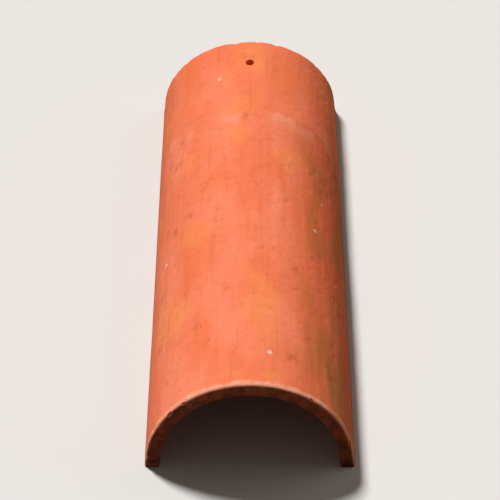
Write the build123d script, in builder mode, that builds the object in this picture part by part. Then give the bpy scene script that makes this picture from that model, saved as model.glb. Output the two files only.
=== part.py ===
"""Tapered barrel roof tile of fired clay, laid as a cover: one moulded half-round trough, open underneath.

The tile lies as it would on a level floor, on its two long feet. Y runs along the barrel from the wide nose
at -Y, which points down the roof, to the narrow head at +Y. Z is up, and the origin is the middle of the
footprint. All lengths are in millimetres and angles in degrees.
"""

from build123d import *
from math import cos, radians, tan
import os

# The barrel: its widths are taken over the feet, and its round arch is part of a cone with a level axis
LENGTH = 460
NOSE_WIDTH = 180
HEAD_WIDTH = 150
WALL = 13
AXIS_HEIGHT = 6
SKIRT_FLARE = 5

# The nose is rounded over, and the edges that a wire or a knife leaves are eased
NOSE_ROUND = 4
TRIM_EASE = 1.5

# The nail hole on the crown, near the head
NAIL_HOLE_RADIUS = 3.5
NAIL_HOLE_INSET = 28
NAIL_MOUTH_RADIUS = 5.5
NAIL_MOUTH_ANGLE = 90

# How far the soft clay reaches below the bed before its feet are trimmed level
TRIMMINGS = 5

flare = radians(SKIRT_FLARE)


def arch_radius(foot_width):
    """Outer radius of the round arch, at an end whose flared skirts stand this wide at the feet."""
    return (foot_width / 2 - AXIS_HEIGHT * tan(flare)) * cos(flare)


def arch_section(plane, foot_width, depth=0):
    """The round arch on its two flared skirts, drawn this deep inside the tile's outer skin."""
    toe = foot_width / 2 + TRIMMINGS * tan(flare) - depth / cos(flare)
    with BuildSketch(plane) as section:
        with BuildLine():
            arch = CenterArc(
                (0, AXIS_HEIGHT),
                arch_radius(foot_width) - depth,
                SKIRT_FLARE,
                180 - 2 * SKIRT_FLARE,
            )
            Polyline(arch @ 0, (toe, -TRIMMINGS), (-toe, -TRIMMINGS), arch @ 1)
        make_face()
    return section.sketch


nose_plane = Plane.XZ.offset(LENGTH / 2)
head_plane = Plane.XZ.offset(-LENGTH / 2)
taper = (arch_radius(NOSE_WIDTH) - arch_radius(HEAD_WIDTH)) / LENGTH

with BuildPart() as barrel_tile:
    # The outer form, drawn straight from nose to head, with its feet cut level
    loft([arch_section(nose_plane, NOSE_WIDTH), arch_section(head_plane, HEAD_WIDTH)], ruled=True)
    split(bisect_by=Plane.XY, keep=Keep.TOP)
    nose_face = barrel_tile.faces().sort_by(Axis.Y)[0]
    fillet(nose_face.edges().sort_by(Axis.Z)[1:], NOSE_ROUND)

    # The trough, which leaves the same wall all round
    loft(
        [arch_section(nose_plane, NOSE_WIDTH, WALL), arch_section(head_plane, HEAD_WIDTH, WALL)],
        ruled=True,
        mode=Mode.SUBTRACT,
    )
    trough_edges = barrel_tile.edges(Select.LAST)
    nose_rim = barrel_tile.faces().sort_by(Axis.Y)[0].edges() & trough_edges
    head_edges = barrel_tile.faces().sort_by(Axis.Y)[-1].edges()
    foot_edges = barrel_tile.faces().group_by(Axis.Z)[0].edges()
    chamfer(nose_rim + head_edges + foot_edges, TRIM_EASE)

    # The nail hole, pierced straight down through the crown, with its mouth spread a little
    hole_crown = AXIS_HEIGHT + arch_radius(HEAD_WIDTH) + taper * NAIL_HOLE_INSET
    with Locations((0, LENGTH / 2 - NAIL_HOLE_INSET, hole_crown)):
        CounterSinkHole(NAIL_HOLE_RADIUS, NAIL_MOUTH_RADIUS, 2 * WALL, NAIL_MOUTH_ANGLE)

barrel_tile.part.label = "barrel_tile"

os.makedirs("parts", exist_ok=True)
export_step(barrel_tile.part, "parts/barrel_tile.step")
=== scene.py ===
"""Looks of the clay barrel tile: the slight unevenness of pressed clay, a pierced nail hole, small chips
along its edges and weathered salmon clay, with the floor, the lamps and the camera that show it.

Lengths are in metres and angles in radians. The tile lies on its feet with its wide nose at -Y, its narrow
head at +Y and the middle of its footprint at the origin.
"""
import math
import random

import bmesh
import bpy
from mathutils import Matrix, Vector


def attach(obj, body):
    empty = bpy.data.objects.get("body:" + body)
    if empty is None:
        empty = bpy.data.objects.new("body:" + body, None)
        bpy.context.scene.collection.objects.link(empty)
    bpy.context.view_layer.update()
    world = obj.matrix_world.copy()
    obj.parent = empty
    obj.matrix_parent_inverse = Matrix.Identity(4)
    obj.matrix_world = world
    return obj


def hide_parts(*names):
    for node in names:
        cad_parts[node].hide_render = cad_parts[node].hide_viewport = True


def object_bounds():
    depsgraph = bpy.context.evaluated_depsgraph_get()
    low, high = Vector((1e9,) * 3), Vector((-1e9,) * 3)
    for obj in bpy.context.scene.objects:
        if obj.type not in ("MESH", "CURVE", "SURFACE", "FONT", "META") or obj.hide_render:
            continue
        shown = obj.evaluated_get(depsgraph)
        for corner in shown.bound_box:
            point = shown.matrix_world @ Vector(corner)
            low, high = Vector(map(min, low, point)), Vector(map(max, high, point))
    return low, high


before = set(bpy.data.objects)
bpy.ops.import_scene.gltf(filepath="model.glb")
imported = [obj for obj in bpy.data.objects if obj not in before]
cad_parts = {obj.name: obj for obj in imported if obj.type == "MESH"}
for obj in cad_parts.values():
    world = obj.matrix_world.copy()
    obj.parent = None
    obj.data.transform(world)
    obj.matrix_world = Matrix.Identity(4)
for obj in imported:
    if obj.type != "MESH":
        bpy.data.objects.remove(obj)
cad_low, cad_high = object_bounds()

NODE = "barrel_tile"
MM = 0.001

# The tile's form
NOSE_Y = cad_low.y
HEAD_Y = cad_high.y
LENGTH = HEAD_Y - NOSE_Y
NOSE_WIDTH = 180 * MM
HEAD_WIDTH = 150 * MM
WALL = 13 * MM
AXIS_HEIGHT = 6 * MM
SKIRT_FLARE = math.radians(5)
NOSE_ROUND = 4 * MM
TRIM_EASE = 1.5 * MM
NAIL_HOLE_RADIUS = 3.5 * MM
NAIL_HOLE_INSET = 28 * MM
NAIL_MOUTH_RADIUS = 5.5 * MM
NAIL_MOUTH_DEPTH = 2 * MM

# How far the skirts reach below the bed before the feet are cut level
TRIMMINGS = 5 * MM

# How finely the barrel is modelled. Its tall and its long edges are cut once its rows are there
CIRCLE_STEPS = 288
EASE_STEPS = 4
FIRST_ROWS = 60
ROW_SPLITS = 4
TALL_EDGE = 8 * MM
TALL_EDGE_CUTS = 6
LONG_EDGE = 5 * MM
LONG_EDGE_CUTS = 4

# Edges sharper than the first are eased, and on the finished tile those flatter than the second look smooth
SHARP_ANGLE = math.radians(40)
SMOOTH_ANGLE = math.radians(38)

# How far off its place a corner may lie
SLACK = 0.01 * MM

# Pressed clay grows even this near its trimmed edges
EDGE_FADE = 3 * MM

# A noise that has a floor reaches its full height this far above it
RAMP_WIDTH = 0.12

# The nail hole. The mesh is finer within the reach, and the clay is pushed down within the spreads
NAIL_REACH = 11 * MM
MOUTH_DENT = 0.6 * MM
MOUTH_SPREAD = 9 * MM
LIP_HEIGHT = 1.4 * MM
LIP_SPREAD = 5 * MM
BORE_UNEVENNESS = 0.9 * MM

# The punch that makes the nail hole. Its flared top rises this far above the foot of the mouth
PUNCH_SIDES = 40
PUNCH_RISE = 6 * MM
PUNCH_CUTS = 3
PUNCH_LUMPS = 4 * MM

# The chips. Those on the rims lie no further than this turn from the crown
CHIP_SEED = 18
NOSE_CHIPS = 4
HEAD_CHIPS = 5
FOOT_CHIPS = 6
CHIP_TURN = math.radians(80)
CHIP_DEPTHS = (0.5 * MM, 1.5 * MM)

# The rough pebbles whose hollows the chips are. Their unevenness is a share of their size
PEBBLE_SIZES = (3.5 * MM, 8 * MM)
PEBBLE_SCALES = (0.75, 1.25)
PEBBLE_SPLITS = 4
PEBBLE_LUMPS = 2.5 * MM
PEBBLE_UNEVENNESS = 0.2

# The length at the head that stays cleaner, out of the weather
LAP = 90 * MM

# Specular level of bare clay, which is far less glossy than a shader's usual 0.5
CLAY_GLOSS = 0.12

# The floor, the room and the two lamps. A level of 1 shows a surface that faces the lamp in its own colour
FLOOR_SIZE = 40
FLOOR_GAP = 0.1 * MM
FLOOR_SEEN = (0.70, 0.705, 0.71, 1)
FLOOR_BOUNCE = (0.15, 0.125, 0.10, 1)
BACKDROP_TINT = (0.83, 0.84, 0.845, 1)
FILL_TINT = (0.105, 0.092, 0.08, 1)
KEY_DIRECTION = Vector((-0.40, 0.60, 1)).normalized()
KEY_SPREAD = math.radians(12)
KEY_LEVEL = 1.25
KEY_TINT = (1.0, 0.97, 0.93)
SIDE_DIRECTION = Vector((1, 0.35, 0.6)).normalized()
SIDE_SPREAD = math.radians(50)
SIDE_LEVEL = 0.13
SIDE_TINT = (1.0, 0.86, 0.72)

# The camera's view
CAMERA_ELEVATION = math.radians(42)
CAMERA_DISTANCE = 12
VIEW_SIZE = 0.43
LOOKED_AT = Vector((0, 0, 42 * MM))


def arch_radius(foot_width):
    """Outer radius of the round arch, at an end whose flared skirts stand this wide at the feet."""
    return (foot_width / 2 - AXIS_HEIGHT * math.tan(SKIRT_FLARE)) * math.cos(SKIRT_FLARE)


NOSE_RADIUS = arch_radius(NOSE_WIDTH)
HEAD_RADIUS = arch_radius(HEAD_WIDTH)
TAPER = (NOSE_RADIUS - HEAD_RADIUS) / LENGTH
NAIL_HOLE_Y = HEAD_Y - NAIL_HOLE_INSET
NAIL_HOLE_CROWN = AXIS_HEIGHT + HEAD_RADIUS + TAPER * NAIL_HOLE_INSET


def skirt_top(radius):
    """The height at which an arch of this outer radius runs on down as straight skirts."""
    return AXIS_HEIGHT + radius * math.sin(SKIRT_FLARE)


def from_axis(point):
    """Distance of a point from the barrel's axis, measured square to the axis."""
    return math.hypot(point.x, point.z - AXIS_HEIGHT)


def depth_in_wall(point):
    """How deep a point lies under the tile's outer skin."""
    outer = NOSE_RADIUS - TAPER * (point.y - NOSE_Y)
    if point.z > skirt_top(outer):
        return outer - from_axis(point)
    return outer - abs(point.x) * math.cos(SKIRT_FLARE) - (point.z - AXIS_HEIGHT) * math.sin(SKIRT_FLARE)


def run(edge):
    """The vector from one end of an edge to the other."""
    return edge.verts[1].co - edge.verts[0].co


def is_nose_rim(edge):
    """Whether an edge lies on the outer rim of the nose."""
    return all(corner.co.y < NOSE_Y + SLACK and depth_in_wall(corner.co) < SLACK for corner in edge.verts)


def hand(thing):
    """Takes an object in hand: it alone is selected and active."""
    bpy.ops.object.select_all(action="DESELECT")
    thing.select_set(True)
    bpy.context.view_layer.objects.active = thing


def pick(kind, wanted):
    """Selects the vertices, edges or faces of the mesh in edit mode that wanted() is true for."""
    bpy.ops.mesh.select_mode(type=kind)
    bpy.ops.mesh.select_all(action="DESELECT")
    mesh = bmesh.from_edit_mesh(bpy.context.object.data)
    for part in {"VERT": mesh.verts, "EDGE": mesh.edges, "FACE": mesh.faces}[kind]:
        if wanted(part):
            part.select_set(True)
    mesh.select_flush_mode()
    bmesh.update_edit_mesh(bpy.context.object.data)


def extrude_along(shift):
    """Extrudes what is selected by this much."""
    bpy.ops.mesh.extrude_region_move(TRANSFORM_OT_translate={"value": shift})


def scale_across(share):
    """Brings what is selected to this share of its distance from the barrel's axis."""
    bpy.ops.transform.resize(value=(share, 1, share), center_override=(0, 0, AXIS_HEIGHT))


def modify(kind, **settings):
    """Adds a modifier with these settings to the object in hand, and applies it."""
    bpy.ops.object.modifier_add(type=kind)
    added = bpy.context.object.modifiers[-1]
    for name, value in settings.items():
        setattr(added, name, value)
    bpy.ops.object.modifier_apply(modifier=added.name)


def cut_away(tile, tool):
    """Cuts a tool's shape out of the tile, leaves its finish, if any, on the cut, and removes it."""
    hand(tile)
    modify("BOOLEAN", operation="DIFFERENCE", solver="MANIFOLD", object=tool, material_mode="TRANSFER")
    bpy.data.objects.remove(tool)


def draw_arch():
    """Keeps only the arch of the nose's circle, and runs each end of it on down as a flared skirt."""
    top = skirt_top(NOSE_RADIUS)
    pick("VERT", lambda corner: corner.co.z < top - SLACK)
    bpy.ops.mesh.delete(type="VERT")
    drop = top + TRIMMINGS
    for side in (-1, 1):
        pick("VERT", lambda corner: corner.co.z < top + SLACK and corner.co.x * side > 0)
        extrude_along((side * drop * math.tan(SKIRT_FLARE), 0, -drop))


def draw_wall():
    """Draws the wall in from the outer arch, then the barrel out to its length, and narrows its head."""
    bpy.ops.mesh.select_all(action="SELECT")
    bpy.ops.mesh.extrude_region()
    scale_across((NOSE_RADIUS - WALL) / NOSE_RADIUS)
    bpy.ops.mesh.select_all(action="SELECT")
    extrude_along((0, LENGTH, 0))
    middle_of_wall = NOSE_RADIUS - WALL / 2
    pick("VERT", lambda corner: corner.co.y > 0 and from_axis(corner.co) < middle_of_wall)
    scale_across((HEAD_RADIUS - WALL) / (NOSE_RADIUS - WALL))
    pick("VERT", lambda corner: corner.co.y > 0 and from_axis(corner.co) > middle_of_wall)
    scale_across(HEAD_RADIUS / NOSE_RADIUS)


def trim_feet():
    """Cuts the feet level, and turns every face outwards."""
    bpy.ops.mesh.select_all(action="SELECT")
    bpy.ops.mesh.bisect(plane_co=(0, 0, 0), plane_no=(0, 0, 1), use_fill=True, clear_inner=True)
    bpy.ops.mesh.select_all(action="SELECT")
    bpy.ops.mesh.normals_make_consistent(inside=False)


def weigh_edges():
    """Weighs the edges for their bevel: the nose's outer rim in full, and every sharp edge a little."""
    pick("EDGE", lambda edge: edge.is_manifold and edge.calc_face_angle() > SHARP_ANGLE)
    bpy.ops.transform.edge_bevelweight(value=TRIM_EASE / NOSE_ROUND)
    pick("EDGE", is_nose_rim)
    bpy.ops.transform.edge_bevelweight(value=1)


def cut_rows():
    """Cuts the barrel into rows, splits them, and cuts the tall and then the long edges that are left."""
    for wanted, cuts in (
        (lambda edge: abs(run(edge).y) > LENGTH / 2, FIRST_ROWS - 1),
        (lambda edge: abs(run(edge).y) > LENGTH / FIRST_ROWS / 2, ROW_SPLITS - 1),
        (lambda edge: abs(run(edge).z) > TALL_EDGE, TALL_EDGE_CUTS),
        (lambda edge: edge.calc_length() > LONG_EDGE, LONG_EDGE_CUTS),
    ):
        pick("EDGE", wanted)
        bpy.ops.mesh.subdivide(number_cuts=cuts)


def shape_barrel():
    """The tapered barrel on its flared skirts, with level feet, eased edges and a skin of fine rows."""
    bpy.ops.object.select_all(action="DESELECT")
    bpy.ops.mesh.primitive_circle_add(
        vertices=CIRCLE_STEPS,
        radius=NOSE_RADIUS,
        location=(0, NOSE_Y, AXIS_HEIGHT),
        rotation=(math.pi / 2, 0, 0),
    )
    tile = bpy.context.object
    tile.name = "weathered_tile"
    bpy.ops.object.transform_apply(location=True, rotation=True, scale=True)
    bpy.ops.object.mode_set(mode="EDIT")
    draw_arch()
    draw_wall()
    trim_feet()
    weigh_edges()
    bpy.ops.object.mode_set(mode="OBJECT")
    modify("BEVEL", limit_method="WEIGHT", width=NOSE_ROUND, segments=EASE_STEPS)
    bpy.ops.object.mode_set(mode="EDIT")
    cut_rows()
    bpy.ops.object.mode_set(mode="OBJECT")
    return tile


def clay_noise(name, size, floor=None):
    """A cloudy unevenness with lumps of this size. With a floor, only what rises above it counts."""
    noise = bpy.data.textures.new(name, "CLOUDS")
    noise.noise_scale = size
    noise.noise_depth = 2
    if floor is not None:
        noise.use_color_ramp = True
        low, high = noise.color_ramp.elements
        low.position = floor
        low.color = (0, 0, 0, 1)
        high.position = floor + RAMP_WIDTH
        high.color = (1, 1, 1, 1)
    return noise


def roughen(tile, name, size, height, skin, level=0.7, stretch=1, floor=None):
    """Moves one skin of the tile out and in, by lumps of this size and height.

    Noise above the level moves it out, and noise below the level moves it in, with a negative height the
    other way round. A stretch draws the lumps out along the barrel.
    """
    bpy.ops.object.select_all(action="DESELECT")
    bpy.ops.object.empty_add()
    guide = bpy.context.object
    guide.scale = (1, stretch, 1)
    hand(tile)
    modify(
        "DISPLACE",
        texture=clay_noise(name, size, floor),
        texture_coords="OBJECT",
        texture_coords_object=guide,
        strength=height,
        mid_level=level,
        vertex_group=skin,
    )
    bpy.data.objects.remove(guide)


def name_skins(tile):
    """Vertex groups for the whole clay, its outside and its underside, which fade out towards the feet.

    The underside fades out towards the ends too.
    """
    groups = {name: tile.vertex_groups.new(name=name) for name in ("clay", "outside", "underside")}
    for corner in tile.data.vertices:
        share = min(1, max(0, corner.co.z) / EDGE_FADE)
        groups["clay"].add([corner.index], share, "REPLACE")
        if depth_in_wall(corner.co) < WALL / 2:
            groups["outside"].add([corner.index], share, "REPLACE")
        else:
            from_end = LENGTH / 2 - abs(corner.co.y)
            groups["underside"].add([corner.index], share * min(1, from_end / EDGE_FADE), "REPLACE")


def press_clay(tile):
    """The unevenness of pressed clay: waves, lumps, drag lines, grain and pits, and the mould's marks."""
    name_skins(tile)
    roughen(tile, "slow_waves", size=110 * MM, height=1.4 * MM, skin="clay")
    roughen(tile, "lumps", size=26 * MM, height=0.6 * MM, skin="clay")
    roughen(tile, "drag_lines", size=8 * MM, height=0.5 * MM, skin="outside", stretch=30)
    roughen(tile, "grain", size=5 * MM, height=0.25 * MM, skin="outside")
    roughen(tile, "pits", size=7 * MM, height=-0.6 * MM, skin="outside", level=0, floor=0.68)
    roughen(tile, "mould_lumps", size=11 * MM, height=0.9 * MM, skin="underside", level=0.4)
    roughen(tile, "mould_lines", size=8 * MM, height=0.6 * MM, skin="underside", level=0.4, stretch=14)


def near_nail_hole(point, level, reach):
    """Whether a point lies within reach of the nail hole's axis, on the skin at this level."""
    return math.hypot(point.x, point.y - NAIL_HOLE_Y) < reach and abs(point.z - level) < WALL / 3


def push_clay(level, dip, spread):
    """Pushes the skin at this level down by the dip at the nail hole, and ever less out to the spread."""
    pick("FACE", lambda face: near_nail_hole(face.calc_center_median(), level, NAIL_REACH))
    bpy.ops.mesh.subdivide(number_cuts=1)
    pick("VERT", lambda corner: near_nail_hole(corner.co, level, NAIL_HOLE_RADIUS))
    bpy.ops.transform.translate(
        value=(0, 0, -dip),
        use_proportional_edit=True,
        proportional_edit_falloff="SMOOTH",
        proportional_size=spread,
        use_proportional_connected=True,
    )


def make_punch():
    """An uneven rod as wide as the nail hole's bore, which flares from the foot of its mouth up."""
    mouth_foot = NAIL_HOLE_CROWN - NAIL_MOUTH_DEPTH
    rod_foot = NAIL_HOLE_CROWN - 2 * WALL
    bpy.ops.object.select_all(action="DESELECT")
    bpy.ops.mesh.primitive_cylinder_add(
        vertices=PUNCH_SIDES,
        radius=NAIL_HOLE_RADIUS,
        depth=mouth_foot - rod_foot,
        location=(0, NAIL_HOLE_Y, (mouth_foot + rod_foot) / 2),
    )
    punch = bpy.context.object
    bpy.ops.object.transform_apply(location=True)
    bpy.ops.object.mode_set(mode="EDIT")

    # The top of the rod, drawn up and spread as the mouth spreads
    pick("FACE", lambda face: face.normal.z > 0.5)
    extrude_along((0, 0, PUNCH_RISE))
    widening = (NAIL_MOUTH_RADIUS - NAIL_HOLE_RADIUS) * PUNCH_RISE / NAIL_MOUTH_DEPTH
    flare = 1 + widening / NAIL_HOLE_RADIUS
    top_centre = (0, NAIL_HOLE_Y, mouth_foot + PUNCH_RISE)
    bpy.ops.transform.resize(value=(flare, flare, 1), center_override=top_centre)

    # Its skin, cut finer and made uneven
    bpy.ops.mesh.select_all(action="SELECT")
    bpy.ops.mesh.subdivide(number_cuts=PUNCH_CUTS)
    bpy.ops.object.mode_set(mode="OBJECT")
    lumps = clay_noise("punch_lumps", PUNCH_LUMPS)
    modify("DISPLACE", texture=lumps, strength=BORE_UNEVENNESS, mid_level=0.5)
    return punch


def pierce_nail_hole(tile):
    """The nail hole near the head, pushed through from above: a dented mouth, a bore and a lip below."""
    hand(tile)
    bpy.ops.object.mode_set(mode="EDIT")
    push_clay(NAIL_HOLE_CROWN, dip=MOUTH_DENT, spread=MOUTH_SPREAD)
    push_clay(NAIL_HOLE_CROWN - WALL, dip=LIP_HEIGHT, spread=LIP_SPREAD)
    bpy.ops.object.mode_set(mode="OBJECT")
    cut_away(tile, make_punch())


def rim_places(draw):
    """Spots on the outer rims of the nose and the head, each with the way out of the clay there."""
    for end_y, radius, rounding, outwards, count in (
        (NOSE_Y, NOSE_RADIUS, NOSE_ROUND, -1, NOSE_CHIPS),
        (HEAD_Y, HEAD_RADIUS, TRIM_EASE, 1, HEAD_CHIPS),
    ):
        # The middle of the rounded rim lies this far in from the end and from the outer skin
        inset = rounding * (1 - math.cos(math.radians(45)))
        for _ in range(count):
            turn = draw.uniform(-CHIP_TURN, CHIP_TURN)
            across = Vector((math.sin(turn), 0, math.cos(turn)))
            rim = Vector((0, end_y - outwards * inset, AXIS_HEIGHT)) + across * (radius - inset)
            yield rim, (across + Vector((0, outwards, 0))).normalized()


def foot_places(draw):
    """Spots on the outer edges of the feet, each with the way out of the clay there."""
    for _ in range(FOOT_CHIPS):
        side = draw.choice((-1, 1))
        along = draw.uniform(NOSE_Y, HEAD_Y)
        half_width = (NOSE_WIDTH - (NOSE_WIDTH - HEAD_WIDTH) * (along - NOSE_Y) / LENGTH) / 2
        yield Vector((side * half_width, along, 0)), Vector((side, 0, -1)).normalized()


def chip_places(draw):
    """The places of all chips, one at a time, because each pebble is drawn by lot after its place."""
    yield from rim_places(draw)
    yield from foot_places(draw)


def make_pebble(draw, finish):
    """A rough pebble of this finish, with a size, a shape and a turn drawn by lot."""
    size = draw.uniform(*PEBBLE_SIZES)
    bpy.ops.object.select_all(action="DESELECT")
    bpy.ops.mesh.primitive_ico_sphere_add(subdivisions=PEBBLE_SPLITS, radius=size)
    pebble = bpy.context.object
    pebble.data.materials.append(finish)
    lumps = clay_noise("pebble_lumps", PEBBLE_LUMPS)
    modify("DISPLACE", texture=lumps, strength=PEBBLE_UNEVENNESS * size, mid_level=0.5)
    pebble.scale = [draw.uniform(*PEBBLE_SCALES) for _ in range(3)]
    pebble.rotation_euler = [draw.uniform(0, math.tau) for _ in range(3)]
    bpy.ops.object.transform_apply(location=True, rotation=True, scale=True)
    return pebble


def chip_edges(tile, broken):
    """Small flat chips of broken clay along the rims and the feet, each the hollow that a pebble leaves."""
    draw = random.Random(CHIP_SEED)
    for spot, outwards in chip_places(draw):
        pebble = make_pebble(draw, broken)
        reach = max(-corner.co.dot(outwards) for corner in pebble.data.vertices)
        _, skin, _, _ = tile.closest_point_on_mesh(spot)
        pebble.location = skin + outwards * (reach - draw.uniform(*CHIP_DEPTHS))
        bpy.ops.object.transform_apply(location=True)
        cut_away(tile, pebble)


class Value:
    """What a node of a finish gives out. Arithmetic on it adds Math nodes."""

    def __init__(self, finish, socket):
        self.finish = finish
        self.socket = socket

    def output(self, name):
        """Another output of the same node."""
        return Value(self.finish, self.socket.node.outputs[name])

    def __add__(self, other):
        return self.finish.maths("ADD", self, other)

    def __sub__(self, other):
        return self.finish.maths("SUBTRACT", self, other)

    def __rsub__(self, other):
        return self.finish.maths("SUBTRACT", other, self)

    def __mul__(self, other):
        return self.finish.maths("MULTIPLY", self, other)

    def __pow__(self, other):
        return self.finish.maths("POWER", self, other)

    __radd__ = __add__
    __rmul__ = __mul__


class Finish:
    """The nodes of one material, or of the world."""

    def __init__(self, owner):
        owner.use_nodes = True
        self.owner = owner
        self.tree = owner.node_tree
        self.tree.nodes.clear()

    def node(self, kind, settings=None, sockets=None, output=0):
        """Adds a node of this kind: its settings first, then the values or links of its sockets."""
        made = self.tree.nodes.new("ShaderNode" + kind)
        for name, value in (settings or {}).items():
            setattr(made, name, value)
        for name, value in (sockets or {}).items():
            if isinstance(value, Value):
                self.tree.links.new(value.socket, made.inputs[name])
            else:
                made.inputs[name].default_value = value
        return Value(self, made.outputs[output]) if made.outputs else None

    def maths(self, operation, *values):
        """A Math node that does this with these values."""
        return self.node("Math", {"operation": operation}, dict(enumerate(values)))

    def step(self, value, low, high):
        """Rises smoothly from 0 to 1 as the value goes from low to high."""
        sockets = {"Value": value, "From Min": low, "From Max": high}
        return self.node("MapRange", {"interpolation_type": "SMOOTHSTEP"}, sockets)

    def noise(self, size, detail=3, roughness=0.5, stretch=(1, 1, 1)):
        """Cloudy noise with lumps of this size, drawn out along each axis by its stretch."""
        place = self.node("TexCoord", output="Object")
        shares = [1 / (size * share) for share in stretch]
        where = self.node("Mapping", sockets={"Vector": place, "Scale": shares})
        sockets = {"Vector": where, "Scale": 1, "Detail": detail, "Roughness": roughness}
        return self.node("TexNoise", sockets=sockets)

    def clouds(self, size, low, high, **shape):
        """Soft-edged clouds of this size: 0 where the noise is under low, and 1 where it is over high."""
        return self.step(self.noise(size, **shape), low, high)

    def specks(self, spacing, channel, shrink, rarity, softness):
        """Ragged specks at scattered places about this far apart.

        Each place's chance is a channel of its colour, drawn by lot. The further it is above the rarity,
        the larger the speck, and the more they shrink, the smaller all of them are.
        """
        place = self.node("TexCoord", output="Object")
        cells = self.node("TexVoronoi", sockets={"Vector": place, "Scale": 1 / spacing})
        chance = self.node("SeparateColor", sockets={"Color": cells.output("Color")}).output(channel)
        ragged = (self.noise(spacing / 12, detail=4) - 0.5) * (0.16 * shrink)
        return self.step(chance - cells * shrink + ragged, rarity, rarity + softness)

    def blend(self, share, first, second):
        """The first colour, covered by the second as far as the share says."""
        return self.node("Mix", {"data_type": "RGBA"}, {0: share, 6: first, 7: second}, output=2)

    def cover(self, colour, layers):
        """The colour under these layers. Each is a share, and the colour that covers that much of it."""
        for share, layer in layers:
            colour = self.blend(share, colour, layer)
        return colour

    def shown(self):
        """Is 1 for what the camera sees, straight or in gloss or glass, and 0 for light on other things."""
        path = self.node("LightPath", output="Is Camera Ray")
        return path + path.output("Is Glossy Ray") + path.output("Is Transmission Ray")

    def surface(self, height, colour, roughness):
        """Closes a material with a clay surface, whose fine relief is this height, and hands it over."""
        relief = self.node("Bump", sockets={"Height": height, "Distance": 1, "Strength": 1})
        shader = self.node(
            "BsdfPrincipled",
            sockets={
                "Base Color": colour,
                "Roughness": roughness,
                "Specular IOR Level": CLAY_GLOSS,
                "Normal": relief,
            },
        )
        self.node("OutputMaterial", sockets={"Surface": shader})
        return self.owner


def linear(brightness):
    """The linear value, as a shader takes it, of a brightness from 0 to 1 on a screen."""
    return brightness / 12.92 if brightness < 0.04045 else ((brightness + 0.055) / 1.055) ** 2.4


def paint(red, green, blue):
    """A colour for a shader, from the numbers from 0 to 255 that it has on a screen."""
    return (linear(red / 255), linear(green / 255), linear(blue / 255), 1)


SALMON = paint(232, 121, 85)
PINK = paint(238, 132, 100)
ORANGE = paint(228, 110, 60)
OCHRE = paint(238, 148, 82)
DULL = paint(196, 96, 64)
# Painted shade: a deeper brown for the right flank, which the key lamp leaves in shade
FLANK_SHADE = paint(206, 88, 44)
KHAKI = paint(164, 106, 50)
# Painted shade: a dark brown for the nose's face, standing in for its shadow, and for darker feet
SHADE_BROWN = paint(92, 47, 32)
SMUDGE = paint(132, 62, 40)
LIME = paint(246, 216, 194)
# Pale dust, also used as the painted highlight along the nose's rim
DUST_AND_HIGHLIGHT = paint(246, 186, 156)
UNDERSIDE = paint(208, 108, 74)
BREAK = paint(226, 108, 60)


class Places:
    """Where a point of the clay lies on the tile, as distances, a turn and shares from 0 to 1."""

    def __init__(self, clay):
        x = clay.node("SeparateXYZ", sockets={"Vector": clay.node("TexCoord", output="Object")})
        y = x.output("Y")
        self.height = x.output("Z")
        self.from_nose = y - NOSE_Y
        self.from_end = LENGTH / 2 - clay.maths("ABSOLUTE", y)

        # The turn round the barrel's axis is 0 at the crown and grows towards +X
        lift = self.height - AXIS_HEIGHT
        self.turn = clay.maths("ARCTAN2", x, lift)

        # The inside begins in the middle of the wall
        radius = (x * x + lift * lift) ** 0.5
        depth = NOSE_RADIUS - self.from_nose * TAPER - radius
        self.inside = clay.step(depth, 0.45 * WALL, 0.85 * WALL)
        self.outside = 1 - self.inside

        # The shelter at the head begins at a ragged line
        self.ragged = self.from_nose + 14 * MM * clay.noise(30 * MM, detail=5)
        self.sheltered = clay.step(self.ragged, LENGTH - LAP, LENGTH - LAP + 7 * MM) * self.outside
        self.weathered = (1 - self.sheltered) * self.outside


def fired_layers(clay, places):
    """The fired clay: pink, orange and ochre clouds, dull patches and streaks, and a duller underside."""
    return [
        (clay.clouds(40 * MM, low=0.42, high=0.64, stretch=(1, 3.2, 1)), PINK),
        (clay.clouds(26 * MM, low=0.48, high=0.66, detail=4, stretch=(1, 3, 1)) * 0.45, ORANGE),
        (clay.clouds(50 * MM, low=0.53, high=0.67, detail=4, stretch=(1, 1.3, 1.1)) * 0.4, OCHRE),
        (clay.clouds(8 * MM, low=0.48, high=0.75, detail=5) * 0.25, DULL),
        (clay.clouds(4 * MM, low=0.5, high=0.75, detail=4, stretch=(1, 30, 1)) * 0.28, DULL),
        (places.sheltered * 0.2, ORANGE),
        (places.inside * 0.6, UNDERSIDE),
    ]


def stain_layers(clay, places):
    """Painted shade on the right flank, the side turned from the key lamp, and stains: khaki on that flank
    in patches and in runs near the nose, and smudges.
    """
    flank = clay.step(places.turn, math.radians(10), math.radians(60))
    patches = clay.clouds(24 * MM, low=0.42, high=0.62, detail=6, stretch=(1, 3, 1))
    shoulder = flank * (1 - clay.step(places.from_nose, 50 * MM, 150 * MM))
    runs = clay.clouds(7 * MM, low=0.42, high=0.62, detail=5, stretch=(1, 6, 1))
    stain = flank * patches * 0.65 + shoulder * runs * 0.35
    smudges = clay.clouds(18 * MM, low=0.61, high=0.73, detail=6, roughness=0.62, stretch=(1, 1.6, 1))
    return [
        # Painted shade: the right flank, turned from the key lamp, is darkened towards a deeper brown
        (flank * 0.55 * places.weathered, FLANK_SHADE),
        (stain * places.weathered, KHAKI),
        (smudges * places.weathered * 0.42, SMUDGE),
    ]


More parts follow.
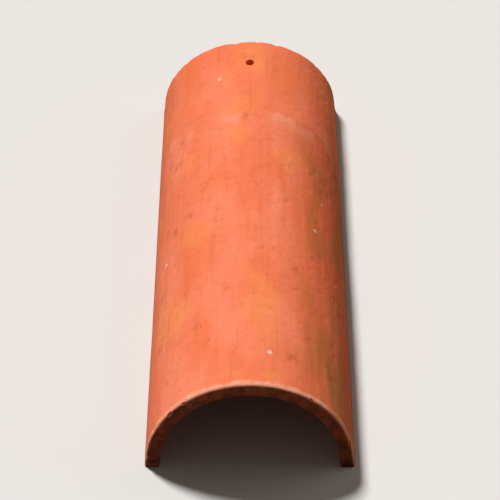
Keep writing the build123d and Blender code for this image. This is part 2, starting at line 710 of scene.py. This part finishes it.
def dust_and_highlight_layer(clay, places):
    """A pale band along the nose's rim, partly dust and partly a painted highlight of its lit rounded edge,
    and faint dust drifts in front of the sheltered head.
    """
    drift = clay.step(places.ragged, LENGTH - LAP - 25 * MM, LENGTH - LAP) * places.weathered
    patchy_drift = drift * clay.clouds(16 * MM, low=0.45, high=0.65, detail=5)
    # Painted highlight, with some dust: a pale band along the nose's rim, ragged where it ends
    rim_reach = places.from_nose + 12 * MM * clay.noise(9 * MM, detail=5, roughness=0.6)
    rim = clay.step(places.from_nose, 0.8 * MM, 2.4 * MM) * (1 - clay.step(rim_reach, 8 * MM, 15 * MM))
    return patchy_drift * 0.25 + rim * places.outside * 0.7, DUST_AND_HIGHLIGHT


def painted_shade_layer(clay, places):
    """Patchy painted shade: heavy on the nose's face, standing in for the shadow that face lies in, and
    half as strong along the feet, which it darkens.
    """
    # Painted shade on the nose's face, and a darkening along the feet
    face = 1 - clay.step(places.from_nose, 0.6 * MM, 2 * MM)
    foot = (1 - clay.step(places.height, 1 * MM, 12 * MM)) * places.outside
    patchy = clay.clouds(9 * MM, low=0.35, high=0.62, detail=6, roughness=0.6) * 0.4 + 0.42
    return (face + foot * 0.5) * patchy, SHADE_BROWN


def skin_height(clay, places):
    """Fine relief: sand all over, coarser underneath, drawn lines outside and wire marks on the ends."""
    sand = 0.34 * MM * clay.noise(2.4 * MM, detail=5, roughness=0.65)
    coarse = 0.3 * MM * clay.noise(1.2 * MM) * places.inside
    lines = 0.14 * MM * clay.noise(2.2 * MM, detail=2, stretch=(1, 50, 1)) * places.outside
    ends = 1 - clay.step(places.from_end, 0.5 * MM, 1.5 * MM)
    wire = 0.3 * MM * clay.noise(1.3 * MM, detail=2, stretch=(1, 1, 16)) * ends
    return sand + coarse + lines + wire


def weathered_clay():
    """Fired clay after years outdoors: mottled salmon, streaked lengthways, darkened on its right flank by
    painted shade and stained there.
    """
    clay = Finish(bpy.data.materials.new("weathered_clay"))
    places = Places(clay)
    grains = clay.clouds(1.6 * MM, low=0.5, high=0.8)
    dark_specks = clay.specks(19 * MM, "Red", shrink=3.2, rarity=0.62, softness=0.16) * places.outside
    dark_spots = clay.specks(70 * MM, "Blue", shrink=6, rarity=0.25, softness=0.5) * places.weathered
    lime_specks = clay.specks(23 * MM, "Green", shrink=2.4, rarity=0.72, softness=0.06)
    layers = [
        *fired_layers(clay, places),
        *stain_layers(clay, places),
        dust_and_highlight_layer(clay, places),
        painted_shade_layer(clay, places),
        (grains * 0.22, SMUDGE),
        (dark_specks * 0.5, SMUDGE),
        (dark_spots * 0.5, SMUDGE),
        (lime_specks * 0.6, LIME),
    ]
    colour = clay.cover(SALMON, layers)
    height = skin_height(clay, places) + 0.15 * MM * lime_specks - 0.2 * MM * dark_specks
    roughness = clay.noise(12 * MM) * 0.16 + 0.76
    return clay.surface(height, colour, roughness)


def broken_clay():
    """Clay bared by a chip: brighter, even in colour, and coarse."""
    clay = Finish(bpy.data.materials.new("broken_clay"))
    colour = clay.blend(clay.clouds(3 * MM, low=0.4, high=0.7, detail=4) * 0.5, BREAK, DULL)
    height = 0.5 * MM * clay.noise(1.5 * MM, detail=4)
    return clay.surface(height, colour, roughness=0.95)


def lay_floor():
    """A plain floor just under the feet, pale to the camera and duller in the light that it throws back."""
    bpy.ops.object.select_all(action="DESELECT")
    bpy.ops.mesh.primitive_plane_add(size=FLOOR_SIZE, location=(0, 0, -FLOOR_GAP))
    floor = bpy.context.object
    floor.name = "floor"
    ground = Finish(bpy.data.materials.new("pale_floor"))
    shade = ground.blend(ground.shown(), FLOOR_BOUNCE, FLOOR_SEEN)
    matt = ground.node("BsdfDiffuse", sockets={"Color": shade})
    ground.node("OutputMaterial", sockets={"Surface": matt})
    floor.data.materials.append(ground.owner)
    return floor


def hang_lamp(direction, spread, level, tint):
    """A far lamp in this direction, as wide as its spread."""
    bpy.ops.object.light_add(type="SUN")
    lamp = bpy.context.object
    lamp.rotation_euler = direction.to_track_quat("Z", "Y").to_euler()
    lamp.data.angle = spread
    lamp.data.energy = level * math.pi
    lamp.data.color = tint


def light_room():
    """A soft key lamp high on the left behind the tile, a weak wide one on the right, and a pale room."""
    hang_lamp(KEY_DIRECTION, KEY_SPREAD, KEY_LEVEL, KEY_TINT)
    hang_lamp(SIDE_DIRECTION, SIDE_SPREAD, SIDE_LEVEL, SIDE_TINT)
    room = Finish(bpy.data.worlds.new("room"))
    even = room.node("Background", sockets={"Color": room.blend(room.shown(), FILL_TINT, BACKDROP_TINT)})
    room.node("OutputWorld", sockets={"Surface": even})
    bpy.context.scene.world = room.owner


def set_camera():
    """The camera looks up the barrel from above its nose, from far off through a long lens."""
    bpy.ops.object.camera_add()
    camera = bpy.context.object
    back = Vector((0, -math.cos(CAMERA_ELEVATION), math.sin(CAMERA_ELEVATION)))
    camera.location = LOOKED_AT + back * CAMERA_DISTANCE
    camera.rotation_euler = back.to_track_quat("Z", "Y").to_euler()
    camera.data.lens = camera.data.sensor_width * CAMERA_DISTANCE / VIEW_SIZE
    camera.data.clip_end = FLOOR_SIZE
    bpy.context.scene.camera = camera


tile = shape_barrel()
tile.data.materials.append(weathered_clay())
press_clay(tile)
pierce_nail_hole(tile)
chip_edges(tile, broken_clay())
hand(tile)
bpy.ops.object.shade_smooth_by_angle(angle=SMOOTH_ANGLE)
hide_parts(NODE)
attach(tile, "root")

lay_floor()
light_room()
set_camera()
bpy.context.scene.view_settings.view_transform = "Standard"
